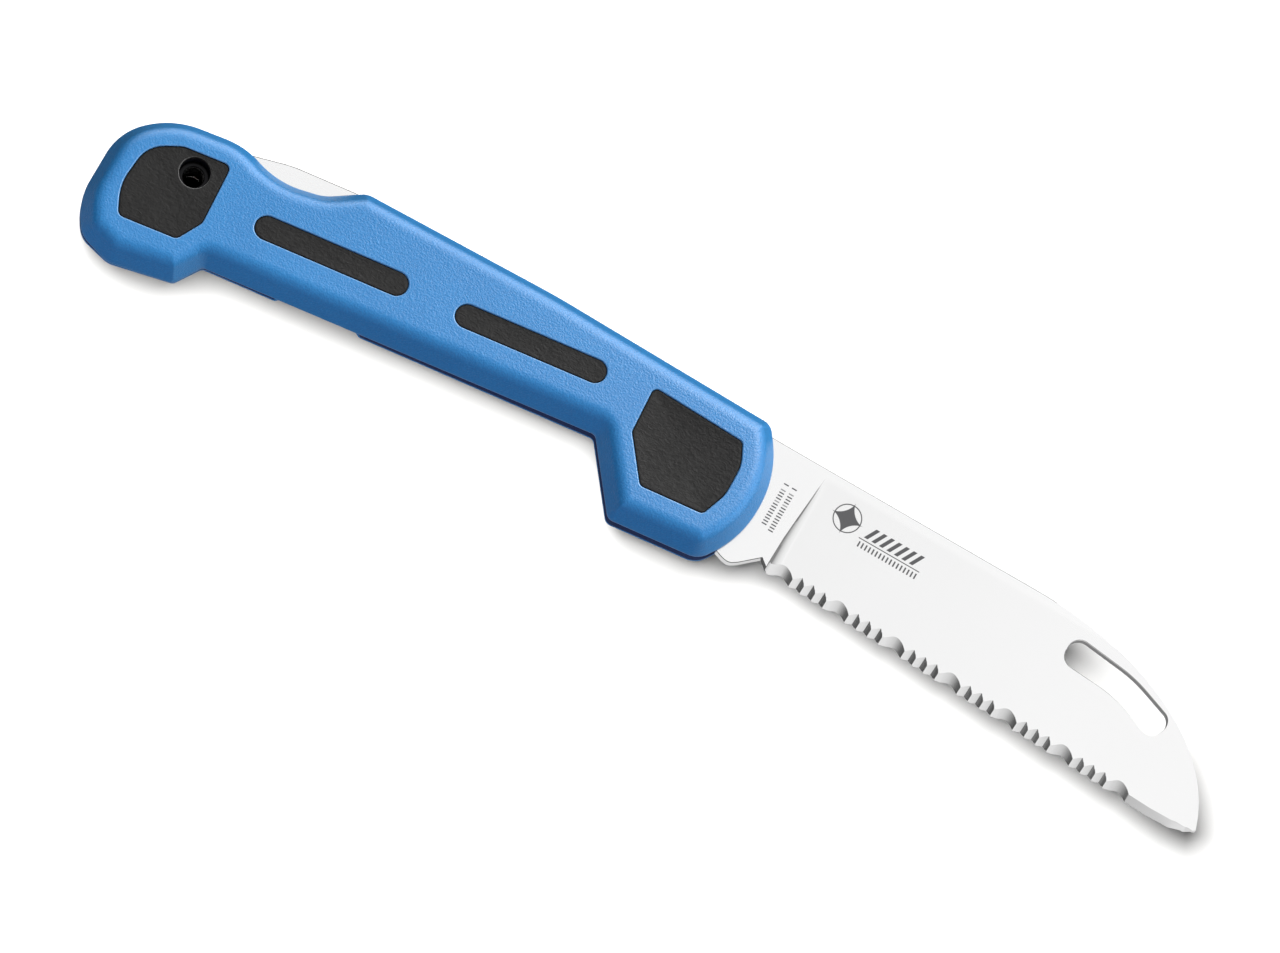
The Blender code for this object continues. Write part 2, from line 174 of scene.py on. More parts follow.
def spaced(loops, step):
    """Adds points on the long sides of rings of equal length, all at the same
    places, so that the rings still match."""
    first = loops[0]
    n = len(first)
    cuts = []
    for i in range(n):
        a, b = Vector(first[i]), Vector(first[(i + 1) % n])
        cuts.append(max(1, int((b - a).length / step)))
    out = []
    for loop in loops:
        ring = []
        for i, c in enumerate(cuts):
            a, b = loop[i], loop[(i + 1) % n]
            for k in range(c):
                t = k / c
                ring.append(tuple(lerp(p, q, t) for p, q in zip(a, b)))
        out.append(ring)
    return out


def drawn_in(loop, d):
    """A dense anticlockwise ring moved inwards by d at every point."""
    n = len(loop)
    out = []
    for i in range(n):
        a, p, b = (Vector(loop[j % n][:2]) for j in (i - 1, i, i + 1))
        u, v = (p - a), (b - p)
        if u.length < 1e-7 or v.length < 1e-7:
            out.append(tuple(p))
            continue
        u.normalize(), v.normalize()
        nu, nv = Vector((-u.y, u.x)), Vector((-v.y, v.x))
        m = (nu + nv) / max(0.35, 1.0 + nu.dot(nv))
        out.append((p.x + m.x * d, p.y + m.y * d))
    return out


def circle(cx, cy, r, n=64):
    return [(cx + r * math.cos(2 * math.pi * k / n),
             cy + r * math.sin(2 * math.pi * k / n)) for k in range(n)]


def stadium(ends, grow=0.0, n=24):
    (x0, y0), (x1, y1), width = ends
    r = width / 2 + grow
    a = math.atan2(y1 - y0, x1 - x0)
    pts = []
    for k in range(n + 1):
        t = a - math.pi / 2 + math.pi * k / n
        pts.append((x1 + r * math.cos(t), y1 + r * math.sin(t)))
    for k in range(n + 1):
        t = a + math.pi / 2 + math.pi * k / n
        pts.append((x0 + r * math.cos(t), y0 + r * math.sin(t)))
    return pts


def bezier(p0, p1, p2, p3, n):
    out = []
    for k in range(n + 1):
        t = k / n
        w = ((1 - t) ** 3, 3 * t * (1 - t) ** 2, 3 * t * t * (1 - t), t ** 3)
        out.append(tuple(sum(wi * p[j] for wi, p in zip(w, (p0, p1, p2, p3)))
                         for j in (0, 1)))
    return out


# ---------------------------------------------------------------- mesh tools
def stack(loops, capped=True):
    """A closed body through rings of equal length, capped at both ends."""
    bm = bmesh.new()
    rings = [[bm.verts.new(p) for p in loop] for loop in loops]
    n = len(rings[0])
    for low, high in zip(rings, rings[1:]):
        for i in range(n):
            j = (i + 1) % n
            bm.faces.new((low[i], low[j], high[j], high[i]))
    if capped:
        bm.faces.new(list(reversed(rings[0])))
        bm.faces.new(rings[-1])
    return bm


def prism(outline, z0, z1):
    return stack([[(x, y, z) for x, y in outline] for z in (z0, z1)])


def turned(profile, cx, cy, n=64):
    """A ring turned about a line parallel to Z: profile is (r, z), closed."""
    bm = bmesh.new()
    rings = []
    for r, z in profile:
        rings.append([bm.verts.new((cx + r * math.cos(2 * math.pi * k / n),
                                    cy + r * math.sin(2 * math.pi * k / n), z))
                      for k in range(n)])
    for low, high in zip(rings, rings[1:] + rings[:1]):
        for i in range(n):
            j = (i + 1) % n
            bm.faces.new((low[i], low[j], high[j], high[i]))
    return bm


def softened(outline, z0, z1, r, steps=3):
    """A plate from z0 to z1 whose two rims are rounded by r."""
    loops = []
    for k in range(steps + 1):
        a = math.pi / 2 * k / steps
        loops.append((r * (1 - math.sin(a)), z0 + r * (1 - math.cos(a))))
    loops += [(d, z0 + z1 - z) for d, z in reversed(loops)]
    return stack([[(x, y, z) for x, y in drawn_in(outline, d)] for d, z in loops])


def flip(bm):
    bmesh.ops.transform(bm, matrix=Matrix.Scale(-1, 4, Vector((0, 0, 1))),
                        verts=bm.verts)
    bmesh.ops.reverse_faces(bm, faces=bm.faces)
    return bm


def to_object(name, bm):
    bmesh.ops.remove_doubles(bm, verts=bm.verts, dist=1e-5)
    bmesh.ops.recalc_face_normals(bm, faces=bm.faces)
    if bm.calc_volume(signed=True) < 0:
        bmesh.ops.reverse_faces(bm, faces=bm.faces)
    mesh = bpy.data.meshes.new(name)
    bm.to_mesh(mesh)
    bm.free()
    obj = bpy.data.objects.new(name, mesh)
    bpy.context.scene.collection.objects.link(obj)
    return obj


def carved(obj, tools, materials=None):
    """Cuts each tool (a bmesh) out of obj and
    applies the result."""
    made = []
    for k, tool in enumerate(tools):
        other = to_object(f"tool_{k}", tool)
        made.append(other)
        mod = obj.modifiers.new(f"cut_{k}", 'BOOLEAN')
        mod.operation = 'DIFFERENCE'
        mod.solver = 'EXACT'
        mod.object = other
    bpy.context.view_layer.update()
    graph = bpy.context.evaluated_depsgraph_get()
    mesh = bpy.data.meshes.new_from_object(obj.evaluated_get(graph))
    obj.modifiers.clear()
    old = obj.data
    obj.data = mesh
    bpy.data.meshes.remove(old)
    for other in made:
        m = other.data
        bpy.data.objects.remove(other)
        bpy.data.meshes.remove(m)
    return obj


def finished(obj, name, mat, body, node, angle=34.0, weighted=True):
    """Puts a mesh in millimetres into the frame, with shading and material."""
    mesh = obj.data
    bm = bmesh.new()
    bm.from_mesh(mesh)
    bmesh.ops.remove_doubles(bm, verts=bm.verts, dist=2e-5)
    bmesh.ops.dissolve_degenerate(bm, dist=1e-5, edges=bm.edges)
    bm.to_mesh(mesh)
    bm.free()
    mesh.transform(Matrix.Translation(Vector(PIVOT)))
    mesh.transform(Matrix.Scale(MM, 4))
    mesh.materials.clear()
    for m in (mat if isinstance(mat, (list, tuple)) else [mat]):
        mesh.materials.append(m)
    mesh.shade_smooth()
    mesh.set_sharp_from_angle(angle=math.radians(angle))
    if weighted:
        mod = obj.modifiers.new("even_shading", 'WEIGHTED_NORMAL')
        mod.mode = 'FACE_AREA'
        mod.weight = 80
        mod.keep_sharp = True
    obj.name = name
    mesh.name = name
    if body:
        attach(obj, body)
    if node:
        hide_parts(*([node] if isinstance(node, str) else node))
    return obj


# ------------------------------------------------------------------ materials
class Graph:
    """A small helper for a material's nodes."""

    def __init__(self, name):
        self.mat = bpy.data.materials.new(name)
        self.mat.use_nodes = True
        self.tree = self.mat.node_tree
        self.shader = self.tree.nodes["Principled BSDF"]
        self.coord = self.tree.nodes.new("ShaderNodeTexCoord").outputs["Object"]

    def add(self, kind, inputs=None, **settings):
        node = self.tree.nodes.new(kind)
        for key, value in settings.items():
            setattr(node, key, value)
        for key, value in (inputs or {}).items():
            socket = node.inputs[key]
            if isinstance(value, bpy.types.NodeSocket):
                self.tree.links.new(value, socket)
            else:
                socket.default_value = value
        return node

    def link(self, a, b):
        self.tree.links.new(a, b)

    def math(self, op, a, b=0.0, c=0.0, clamp=False):
        n = self.add("ShaderNodeMath", {0: a, 1: b, 2: c}, operation=op,
                     use_clamp=clamp)
        return n.outputs[0]

    def scaled(self, sx, sy, sz):
        return self.add("ShaderNodeMapping",
                        {"Vector": self.coord, "Scale": (sx, sy, sz)}).outputs[0]

    def noise(self, vector, scale, detail=3.0, rough=0.55):
        return self.add("ShaderNodeTexNoise",
                        {"Vector": vector, "Scale": scale, "Detail": detail,
                         "Roughness": rough}).outputs["Fac"]

    def spread(self, value, low, high, to_low=0.0, to_high=1.0):
        return self.add("ShaderNodeMapRange",
                        {"Value": value, "From Min": low, "From Max": high,
                         "To Min": to_low, "To Max": to_high}).outputs[0]

    def mix(self, fac, a, b):
        n = self.add("ShaderNodeMix", data_type='RGBA')
        for index, value in ((0, fac), (6, a), (7, b)):
            if isinstance(value, bpy.types.NodeSocket):
                self.link(value, n.inputs[index])
            elif index == 0:
                n.inputs[0].default_value = value
            else:
                n.inputs[index].default_value = (*value, 1.0)
        return n.outputs[2]

    def bump(self, height, strength, distance, normal=None):
        n = self.add("ShaderNodeBump", {"Height": height, "Strength": strength,
                                        "Distance": distance})
        if normal is not None:
            self.link(normal, n.inputs["Normal"])
        return n.outputs[0]

    def out(self, colour=None, rough=None, normal=None, metal=0.0, **sockets):
        for key, value in (("Base Color", colour), ("Roughness", rough),
                           ("Normal", normal)):
            if value is None:
                continue
            if isinstance(value, bpy.types.NodeSocket):
                self.link(value, self.shader.inputs[key])
            elif key == "Base Color":
                self.shader.inputs[key].default_value = (*value, 1.0)
            else:
                self.shader.inputs[key].default_value = value
        self.shader.inputs["Metallic"].default_value = metal
        for key, value in sockets.items():
            self.shader.inputs[key.replace("_", " ")].default_value = value
        return self.mat


def moulded(name, base, light, dark, rough=0.52, grain=1.0, gloss=0.36):
    """Moulded nylon with a fine leathery grain."""
    g = Graph(name)
    fine = g.noise(g.coord, 4300, 2.0, 0.6)
    cells = g.add("ShaderNodeTexVoronoi", {"Vector": g.coord, "Scale": 3300.0,
                                           "Randomness": 1.0},
                  feature='SMOOTH_F1').outputs["Distance"]
    broad = g.noise(g.coord, 90, 3.0, 0.5)
    height = g.math('ADD', g.math('MULTIPLY', fine, 0.6),
                    g.math('MULTIPLY', cells, 0.5))
    tone = g.spread(g.math('ADD', g.math('MULTIPLY', height, 0.8),
                           g.math('MULTIPLY', broad, 0.3)), 0.45, 0.95)
    colour = g.mix(tone, dark, light)
    colour = g.mix(0.5, base, colour)
    roughness = g.spread(fine, 0.3, 0.7, rough - 0.06, rough + 0.08)
    normal = g.bump(height, 1.1 * grain, 0.00007)
    mat = g.out(colour, roughness, normal, Specular_IOR_Level=gloss)
    # Painted sheen and shade: the sheen follows which way a face points, full on the top
    # and round the nose, weaker on the steep side walls.
    texco = g.tree.nodes.new("ShaderNodeTexCoord")
    facing = g.add("ShaderNodeSeparateXYZ", {0: texco.outputs["Normal"]}).outputs
    sheen_by_facing = g.math('MAXIMUM', g.spread(g.math('ABSOLUTE', facing[2]), 0.36, 0.62),
                    g.spread(facing[0], 0.15, 0.55))
    sheen = g.spread(sheen_by_facing, 0.0, 1.0, 0.38 * gloss, gloss)
    g.tree.links.new(sheen, g.shader.inputs["Specular IOR Level"])
    return mat


def leather_rubber(name, gloss=0.14):
    """Soft black inlay with a fine leather grain."""
    g = Graph(name)
    warp = g.add("ShaderNodeTexNoise", {"Vector": g.coord, "Scale": 700.0,
                                        "Detail": 1.0}).outputs["Color"]
    shift = g.add("ShaderNodeVectorMath", {0: warp, 1: (0.5, 0.5, 0.5)},
                  operation='SUBTRACT').outputs[0]
    small = g.add("ShaderNodeVectorMath", {0: shift}, operation='SCALE')
    small.inputs["Scale"].default_value = 0.0006
    where = g.add("ShaderNodeVectorMath", {0: g.coord, 1: small.outputs[0]},
                  operation='ADD').outputs[0]
    cells = g.add("ShaderNodeTexVoronoi", {"Vector": where, "Scale": 2400.0},
                  feature='SMOOTH_F1').outputs["Distance"]
    wrinkle = g.add("ShaderNodeTexNoise",
                    {"Vector": g.add("ShaderNodeMapping",
                                     {"Vector": where, "Rotation": (0, 0, 0.35),
                                      "Scale": (1100, 2300, 1500)}).outputs[0],
                     "Scale": 1.0, "Detail": 3.0, "Roughness": 0.55,
                     "Distortion": 0.8}).outputs["Fac"]
    fine = g.noise(g.coord, 5200, 2.0, 0.6)
    broad = g.noise(g.coord, 160, 2.0, 0.5)
    height = g.math('ADD', g.math('MULTIPLY', wrinkle, 0.9),
                    g.math('ADD', g.math('MULTIPLY', cells, 0.35),
                           g.math('MULTIPLY', fine, 0.3)))
    tone = g.spread(g.math('ADD', g.math('MULTIPLY', height, 0.6),
                           g.math('MULTIPLY', broad, 0.4)), 0.45, 0.85)
    colour = g.mix(tone, (0.0045, 0.0045, 0.0043), (0.0105, 0.0103, 0.0098))
    roughness = g.spread(wrinkle, 0.3, 0.7, 0.70, 0.56)
    normal = g.bump(height, 0.85, 0.00012)
    return g.out(colour, roughness, normal, Specular_IOR_Level=gloss)


def satin(name, base, rough, brush=(60, 1500, 1500), strength=0.05, worn=0.04,
          metal=1.0):
    """Ground steel: fine lines along one axis and a little tone variation."""
    g = Graph(name)
    lines = g.noise(g.scaled(*brush), 1.0, 4.0, 0.65)
    cloud = g.noise(g.coord, 60, 3.0, 0.5)
    tone = g.math('ADD', g.math('MULTIPLY', lines, 0.6),
                  g.math('MULTIPLY', cloud, 0.4))
    low = tuple(c * (1 - worn) for c in base)
    high = tuple(min(1.0, c * (1 + worn)) for c in base)
    colour = g.mix(g.spread(tone, 0.3, 0.7), low, high)
    roughness = g.spread(lines, 0.25, 0.75, rough - 0.04, rough + 0.05)
    normal = g.bump(lines, strength, 0.00002)
    return g.out(colour, roughness, normal, metal)


BLUE = moulded("blue_nylon", (0.018, 0.243, 0.590), (0.034, 0.315, 0.720),
               (0.007, 0.165, 0.450), 0.42)
# Dark navy painted on the faces inside the gap between the shells and on the walls of
# the pin holes: painted shade where the shells keep the light off.
PAINTED_SHADE_NYLON = moulded("blue_painted_shade", (0.008, 0.028, 0.115), (0.010, 0.034, 0.13),
                 (0.006, 0.022, 0.09), 0.6, 0.4)
# A lighter blue on the rounded mouths of the inlay pockets: a painted highlight, on a
# smoother finish.
PAINTED_HIGHLIGHT_NYLON = moulded("blue_rim_painted_highlight", (0.085, 0.300, 0.62), (0.10, 0.33, 0.66),
              (0.07, 0.26, 0.56), 0.30, 0.2, 0.4)
# Near black on the walls of the lanyard hole: painted shade deep in the hole.
BORE_PAINTED_SHADE = moulded("bore_painted_shade", (0.003, 0.004, 0.008), (0.004, 0.005, 0.010),
               (0.002, 0.003, 0.006), 0.6, 0.3, 0.2)
# Dark navy on the butt spacer between the shells: painted shade where the shells hide
# it.
SPACER_PAINTED_SHADE = moulded("navy_nylon", (0.010, 0.045, 0.150), (0.013, 0.055, 0.18),
               (0.008, 0.035, 0.12), 0.6)
RUBBER = leather_rubber("black_rubber")
RUBBER_RIM = leather_rubber("black_rubber_rim", 0.9)


def blade_steel():
    """Satin ground steel.  The plunge is painted dark: a painted reflection of
    the dim room in place of the light overhead.  Two etched marks on the
    right-hand face: a ringed four-pointed star with a rope border and ruled
    lines beside it, and two rows of fine ticks on the tang."""
    g = Graph("blade_satin")
    lines = g.noise(g.scaled(2200, 90, 90), 1.0, 4.0, 0.65)
    cloud = g.noise(g.coord, 45, 3.0, 0.5)
    tone = g.math('ADD', g.math('MULTIPLY', lines, 0.5),
                  g.math('MULTIPLY', cloud, 0.5))
    steel = g.mix(g.spread(tone, 0.3, 0.7), (0.874, 0.874, 0.874),
                  (0.892, 0.892, 0.892))

    place = g.add("ShaderNodeSeparateXYZ", {0: g.coord}).outputs
    texco = g.tree.nodes.new("ShaderNodeTexCoord")
    facing = g.add("ShaderNodeSeparateXYZ", {0: texco.outputs["Normal"]}).outputs
    x = g.math('SUBTRACT', g.math('MULTIPLY', place[0], 1000.0), PIVOT[0])
    y = g.math('SUBTRACT', g.math('MULTIPLY', place[1], 1000.0), PIVOT[1])

    def both(*masks):
        out = masks[0]
        for m in masks[1:]:
            out = g.math('MULTIPLY', out, m)
        return out

    def either(*masks):
        out = masks[0]
        for m in masks[1:]:
            out = g.math('MAXIMUM', out, m)
        return out

    def below(value, limit, soft=0.03):
        return g.spread(value, limit - soft, limit + soft, 1.0, 0.0)

    def band(value, middle, half, soft=0.03):
        return below(g.math('ABSOLUTE', g.math('SUBTRACT', value, middle)),
                     half, soft)

    def saw(value, pitch):
        return g.math('SUBTRACT', g.math('PINGPONG', value, pitch / 2), pitch / 4)

    # plunge: painted shade, a dark patch on the faces of the plunge
    plunge_painted_shade = g.spread(facing[0], 0.03, 0.42)
    plunge_painted_shade = both(plunge_painted_shade, g.spread(facing[1], -0.35, -0.2),
                 g.spread(x, 23.5, 24.5, 1.0, 0.0), g.spread(x, 15.0, 15.5))
    steel = g.mix(g.math('MULTIPLY', plunge_painted_shade, 0.93), steel, (0.10, 0.10, 0.10))

    # the roundel
    rx, ry = g.math('SUBTRACT', x, 25.7), g.math('SUBTRACT', y, 4.75)
    away = g.math('SQRT', g.math('ADD', g.math('MULTIPLY', rx, rx),
                                 g.math('MULTIPLY', ry, ry)))
    ring = band(away, 2.2, 0.09)
    ax, ay = g.math('ABSOLUTE', rx), g.math('ABSOLUTE', ry)
    star = below(g.math('ADD', g.math('POWER', ax, 0.62),
                        g.math('POWER', ay, 0.62)), 1.86, 0.03)
    # the rope border: slanted strokes between two rules
    lean = g.math('SUBTRACT', x, g.math('MULTIPLY', y, 0.55))
    strokes = both(below(saw(lean, 1.32), 0.0, 0.03), band(y, 4.5, 1.02),
                   band(lean, 31.68, 4.62))
    rule = both(band(y, 3.08, 0.075), band(x, 34.0, 5.35))
    fine = both(below(saw(x, 0.62), -0.03, 0.03), band(y, 2.2, 0.46),
                band(x, 34.0, 5.35))
    # the tang
    row = g.math('SNAP', g.math('ADD', y, 0.25), 0.5)
    beat = g.noise(g.add("ShaderNodeCombineXYZ", {0: 0.3, 1: row, 2: 0.7}).outputs[0],
                   1.9, 0.0, 0.5)
    ticks = both(below(saw(y, 0.5), -0.02, 0.03),
                 either(both(band(x, 16.45, 0.42), band(y, 0.75, 3.95)),
                        both(band(x, 15.05, 0.42), band(y, 1.0, 3.75))),
                 g.spread(beat, 0.40, 0.44))
    mark = either(ring, star, strokes, rule, fine, ticks)
    mark = both(mark, g.spread(facing[2], 0.5, 0.6))
    steel = g.mix(g.math('MULTIPLY', mark, 0.88), steel, (0.045, 0.045, 0.05))

    roughness = g.spread(lines, 0.25, 0.75, 0.23, 0.27)
    roughness = g.math('ADD', roughness, g.math('MULTIPLY', mark, 0.25))
    normal = g.bump(lines, 0.012, 0.00001)
    return g.out(steel, roughness, normal, 1.0)


STEEL = blade_steel()
# Not used: a darker steel meant for painted shade on the slot walls.
SPARE_PAINTED_SHADE_STEEL = satin("spare_painted_shade_steel", (0.50, 0.50, 0.50), 0.4, (900, 900, 60), 0.1, 0.08)
BAR_STEEL = satin("lock_satin", (0.885, 0.885, 0.885), 0.26, (60, 700, 60), 0.0,
                  0.006)
# Near-black steel for the chamfers along the spine, the tang's lower edge, the notch
# wall and the lock bar's top edge: painted shade lines.
EDGE_PAINTED_SHADE = satin("edge_painted_shade", (0.035, 0.035, 0.035), 0.5, (60, 60, 900), 0.02)
# A dark steel for the walls of the thumb slot: painted shade.
SLOT_PAINTED_SHADE = satin("slot_painted_shade", (0.15, 0.15, 0.15), 0.36, (900, 900, 60), 0.1, 0.08)
SPRING = satin("spring_temper", (0.42, 0.44, 0.47), 0.32, (80, 1800, 1800), 0.08)
PIN = satin("pin_steel", (0.62, 0.62, 0.63), 0.30, (1800, 1800, 90), 0.08)
BRONZE = satin("washer_bronze", (0.60, 0.38, 0.17), 0.38, (1500, 1500, 300), 0.08)
TUBE = satin("tube_blackened", (0.014, 0.014, 0.015), 0.22, (900, 900, 2500), 0.04)


# --------------------------------------------------------------- the handle
def rim(outline_at, z_floor, z_top, grow, r, steps=4):
    """A pocket cutter whose mouth is rounded by r into the face at z_top."""
    loops = [(z_floor, grow), (z_top - r, grow)]
    for k in range(1, steps + 1):
        a = math.pi / 2 * k / steps
        loops.append((z_top - r + r * math.sin(a), grow + r * (1 - math.cos(a))))
    loops.append((z_top + 0.6, grow + r))
    return stack([[(x, y, z) for x, y in outline_at(g)] for z, g in loops])


POCKETS = [rounded(FRONT_PAD, 6, -0.5), rounded(BUTT_PAD, 6, -0.5),
           stadium(FRONT_STRIPE, 0.5, 12), stadium(REAR_STRIPE, 0.5, 12)]


def in_loop(x, y, loop):
    hit = False
    for i in range(len(loop)):
        (x0, y0), (x1, y1) = loop[i - 1], loop[i]
        if (y0 > y) != (y1 > y) and x < (x1 - x0) * (y - y0) / (y1 - y0) + x0:
            hit = not hit
    return hit


def in_pocket(c):
    x, y = c.x / MM - PIVOT[0], c.y / MM - PIVOT[1]
    return any(in_loop(x, y, loop) for loop in POCKETS)


def hollow(c, n, holes=(LANYARD, BAR_PIN, SPRING_PIN, (0.0, 0.0))):
    """True inside a hole: where the face looks back at the hole's middle."""
    x, y = c.x / MM - PIVOT[0], c.y / MM - PIVOT[1]
    for cx, cy in holes:
        if math.hypot(x - cx, y - cy) < 6.0 and (cx - x) * n.x + (cy - y) * n.y > 0:
            return True
    return False


def handle_shell(name, corners, side, node):
    steps = 22
    levels = [(0.14, HALF_GAP), (0.05, HALF_GAP + 0.04), (0.0, HALF_GAP + 0.14),
              (0.0, WALL_TOP - 0.2), (0.01, WALL_TOP)]
    # The shoulder between the leaning wall and the flat turns slowly at both
    # ends and faster in the middle.
    drop = SHOULDER * (1 - math.cos(WALL_LEAN))
    lean = (HALF_HANDLE - drop - WALL_TOP) / math.tan(WALL_LEAN)
    for k in range(1, 5):
        levels.append((lean * k / 5, lerp(WALL_TOP, HALF_HANDLE - drop, k / 5)))
    path = [(0.0, 0.0)]
    for k in range(steps):
        t = (k + 0.5) / steps
        a = WALL_LEAN * (1 - t * t * (3 - 2 * t))
        path.append((path[-1][0] + math.cos(a), path[-1][1] + math.sin(a)))
    for d, z in path:
        levels.append((lean + d * SHOULDER * math.sin(WALL_LEAN) / path[-1][0],
                       HALF_HANDLE - drop + z * drop / path[-1][1]))
    rings = spaced([rounded(corners, 14, d) for d, _z in levels], 2.0)
    bm = stack([[(x, y, z) for x, y in ring] for ring, (_d, z) in zip(rings, levels)])
    obj = to_object(name, bm if side > 0 else flip(bm))
    floor = HALF_HANDLE - INLAY_SINK - INLAY_THICK - 0.05
    top = HALF_HANDLE
    head = floor - 0.8 - 0.08
    tools = [
        rim(lambda g: rounded(FRONT_PAD, 10, -g), floor, top, INLAY_FIT, 0.2),
        rim(lambda g: rounded(BUTT_PAD, 10, -g), floor, top, INLAY_FIT, 0.2),
        rim(lambda g: stadium(FRONT_STRIPE, g), floor, top, INLAY_FIT, 0.2),
        rim(lambda g: stadium(REAR_STRIPE, g), floor, top, INLAY_FIT, 0.2),
        stack([[(x, y, z) for x, y in circle(0, 0, r)] for r, z in (
            (5.65, 0.5), (5.65, 1.8), (PIVOT_HOLE_R, 1.8), (PIVOT_HOLE_R, head),
            (3.5, head), (3.5, floor + 0.4))]),
        prism(circle(*BAR_PIN, 1.58, 32), 0.5, 4.75),
        prism(circle(*SPRING_PIN, 1.08, 24), 0.5, 3.4),
        prism(circle(*LANYARD, LANYARD_R), 0.5, 9),
    ]
    if side < 0:
        tools = [flip(t) for t in tools]
        (sx, sy), sr = SCOOP
        profile = [(sr + 1.6, -9.0), (sr + 1.45, -7.2), (sr + 1.25, -6.7),
                   (sr + 0.3, -2.0), (sr + 0.12, -1.7), (sr + 0.3, -1.45),
                   (sr + 0.5, -0.5)]
        tools.append(stack([[(x, y, z) for x, y in circle(sx, sy, r, 144)]
                            for r, z in profile]))
    carved(obj, tools)
    obj = finished(obj, name, [BLUE, PAINTED_SHADE_NYLON, PAINTED_HIGHLIGHT_NYLON, BORE_PAINTED_SHADE], "handle", node)
    for p in obj.data.polygons:
        z = abs(p.center.z / MM - PIVOT[2])
        # Faces inside the gap and the walls of the pin holes take the painted shade.
        if z < HALF_GAP + 0.05 or (z < 4.9 and abs(p.normal.z) < 0.05
                                   and hollow(p.center, p.normal)):
            p.material_index = 1
        # The rounded pocket mouths take the painted highlight.
        elif z > 5.3 and z < 6.999 and in_pocket(p.center):
            p.material_index = 2
        # The lanyard hole walls take the painted shade.
        if hollow(p.center, p.normal, (LANYARD,)) and abs(p.normal.z) < 0.05:
            p.material_index = 3
    return obj


handle_shell("handle_right", HANDLE, +1, "handle_shell_right")
handle_shell("handle_left", [LEFT_BELLY.get(i, c) for i, c in enumerate(HANDLE)],
             -1, "handle_shell_left")


def grain(x, y, seed):
    """Height of the leather grain, in millimetres."""
    p = Vector((x * 1.35, y * 1.35, seed))
    d = noise.voronoi(p)[0]
    cell = min(1.0, (d[1] - d[0]) * 2.2)
    return 0.028 * (cell - 0.6) + 0.012 * noise.noise(Vector((x * 4, y * 4, seed)))


def inlay(name, outline, side, node, dish=0.0, hole=False, seed=0.0):
    """A rubber inlay: rounded rim, dished middle and a grained face."""
    top = HALF_HANDLE - INLAY_SINK
    r = 0.22
    ring = spaced([outline], 0.42)[0]
    n = len(ring)
    cx = sum(p[0] for p in ring) / n
    cy = sum(p[1] for p in ring) / n
    reach = max(math.hypot(x - cx, y - cy) for x, y in ring)
    loops = [[(x, y, top - INLAY_THICK) for x, y in ring],
             [(x, y, top - 0.6) for x, y in ring]]
    for k in range(0, 5):
        a = math.pi / 2 * k / 4
        loops.append([(x, y, top - r + r * math.sin(a))
                      for x, y in drawn_in(ring, r * (1 - math.cos(a)))])
    edge = drawn_in(ring, r)
    count = max(8, int(reach / 0.34))
    level = top - 0.07
    for k in range(1, count):
        s = 1 - k / count
        loop = []
        for x, y in edge:
            px, py = cx + (x - cx) * s, cy + (y - cy) * s
            fade = min(1.0, 3.0 * (1 - s))
            z = top - dish * (1 - s ** 2.2) + grain(px, py, seed) * fade * 0.6
            if hole:
                away = math.hypot(px - LANYARD[0], py - LANYARD[1]) - LANYARD_R
                z = lerp(level, z, max(0.0, min(1.0, (away - 0.6) / 0.8)))
            loop.append((px, py, z))
        loops.append(loop)
    bm = stack(loops, capped=False)
    bm.verts.ensure_lookup_table()
    first = [bm.verts[i] for i in range(n)]
    last = [bm.verts[i] for i in range(n * (len(loops) - 1), n * len(loops))]
    bm.faces.new(list(reversed(first)))
    tip = bm.verts.new((cx, cy, top - dish))
    for i in range(n):
        bm.faces.new((last[i], last[(i + 1) % n], tip))
    obj = to_object(name, bm if side > 0 else flip(bm))
    if hole:
        bore, soft_rim = LANYARD_R - 0.06, 0.13
        profile = [(bore, top - INLAY_THICK - 1.0), (bore, level - soft_rim)]
        for k in range(1, 5):
            a = math.pi / 2 * k / 5
            profile.append((bore + soft_rim * (1 - math.cos(a)),
                            level - soft_rim + soft_rim * math.sin(a)))
        profile.append((bore + soft_rim, level + 0.02))
        profile.append((bore + soft_rim + 0.02, top + 0.8))
        bm = stack([[(x, y, z) for x, y in circle(*LANYARD, q, 72)]
                    for q, z in profile])
        carved(obj, [bm if side > 0 else flip(bm)])
    obj = finished(obj, name, [RUBBER, RUBBER_RIM], "handle", node,
                   40, weighted=False)
    if hole:
        for p in obj.data.polygons:
            x, y = p.center.x / MM - PIVOT[0], p.center.y / MM - PIVOT[1]
            z = abs(p.center.z / MM - PIVOT[2])
            if (math.hypot(x - LANYARD[0], y - LANYARD[1]) < LANYARD_R + 0.1
                    and z > level - 0.12 and abs(p.normal.z) < 0.98):
                p.material_index = 1
    return obj


for tag, side in (("right", +1), ("left", -1)):
    inlay(f"thumb_inlay_{tag}", rounded(FRONT_PAD, 8), side, f"front_pad_{tag}",
          dish=0.35, seed=3.1 * side)
    inlay(f"stripe_inlay_front_{tag}", stadium(FRONT_STRIPE), side,
          f"front_stripe_{tag}", dish=0.04, seed=5.3 * side)
    inlay(f"stripe_inlay_rear_{tag}", stadium(REAR_STRIPE), side,
          f"rear_stripe_{tag}", dish=0.04, seed=7.7 * side)
    inlay(f"butt_inlay_{tag}", rounded(BUTT_PAD, 8), side, f"butt_pad_{tag}",
          dish=0.12, hole=True, seed=9.2 * side)


# ---------------------------------------------------------------- the blade
def half_thickness(y):
    return BLADE_HALF - GRIND_SLOPE * max(0.0, GRIND_TOP - y)


